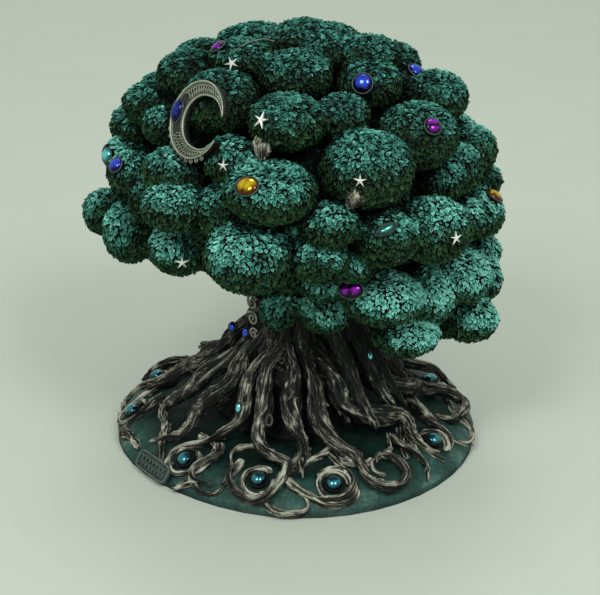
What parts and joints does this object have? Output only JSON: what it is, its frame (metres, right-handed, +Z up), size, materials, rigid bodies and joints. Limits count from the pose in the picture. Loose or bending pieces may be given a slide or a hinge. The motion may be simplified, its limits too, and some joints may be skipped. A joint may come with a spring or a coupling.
{
  "type": "tree of life figurine",
  "caption": "Painted clay tree of life ornament with jewelled leafy crown, crescent moon, stars and roots that curl round set pearls on a round plinth.",
  "frame": {"origin": "centre of the plinth's flat underside, on the surface it stands on", "axes": "+Z up the trunk, -Y towards the front with the moon at its upper left, +X to the right"},
  "size_m": [0.1711, 0.1563, 0.1754],
  "materials": {
    "plinth_paint": "satin, dry-brushed rim",
    "plaque_paint": "satin, carved",
    "bark": "matt, pale dry-brushed ridges",
    "leaves": "satin, pearly teal highlights",
    "crown_shade": "matt",
    "pearl_glaze": "gloss, pearly",
    "pewter": "satin",
    "silver": "satin",
    "blue_gem": "gloss",
    "purple_gem": "gloss",
    "amber_gem": "gloss",
    "teal_gem": "gloss"
  },
  "bodies": {
    "root": {"plinth": "plinth_paint", "rim_plaque": "plaque_paint", "pearl_left_rear": "pearl_glaze", "pearl_left": "pearl_glaze", "pearl_plaque": "pearl_glaze", "pearl_front_ring": "pearl_glaze", "pearl_front_curl": "pearl_glaze", "pearl_right": "pearl_glaze", "pearl_right_rear": "pearl_glaze", "pearl_back_ring": "pearl_glaze", "trunk": "bark", "root_left_rear": "bark", "root_left": "bark", "root_left_hook": "bark", "root_front_left": "bark", "root_plaque": "bark", "root_plaque_hook": "bark", "root_front_ring": "bark", "root_front": "bark", "root_front_curl": "bark", "root_front_scroll": "bark", "root_front_right": "bark", "root_front_right_tail": "bark", "root_pearl_guard": "bark", "root_right": "bark", "root_right_rear": "bark", "root_back_right": "bark", "root_back": "bark", "root_back_mid": "bark", "root_back_ring": "bark", "root_back_left": "bark", "crown_core": "crown_shade", "moon_gem": "blue_gem", "crescent_moon": "pewter", "gem_blue_top": "blue_gem", "gem_blue_back": "blue_gem", "gem_purple_upper": "purple_gem", "gem_purple_top_left": "purple_gem", "gem_blue_left": "blue_gem", "gem_teal_left": "teal_gem", "gem_amber_front": "amber_gem", "gem_amber_right": "amber_gem", "gem_purple_low": "purple_gem", "gem_teal_leaf": "teal_gem", "star_upper": "silver", "star_centre": "silver", "star_moon": "silver", "star_left": "silver", "star_right": "silver", "bough_top": "leaves", "bough_upper_front": "leaves", "bough_upper_left": "leaves", "bough_left": "leaves", "bough_front": "leaves", "bough_right": "leaves", "bough_front_right": "leaves", "bough_lower_right": "leaves", "bough_back_left": "leaves", "bough_back_right": "leaves", "bough_back_low": "leaves"}
  },
  "joints": []
}
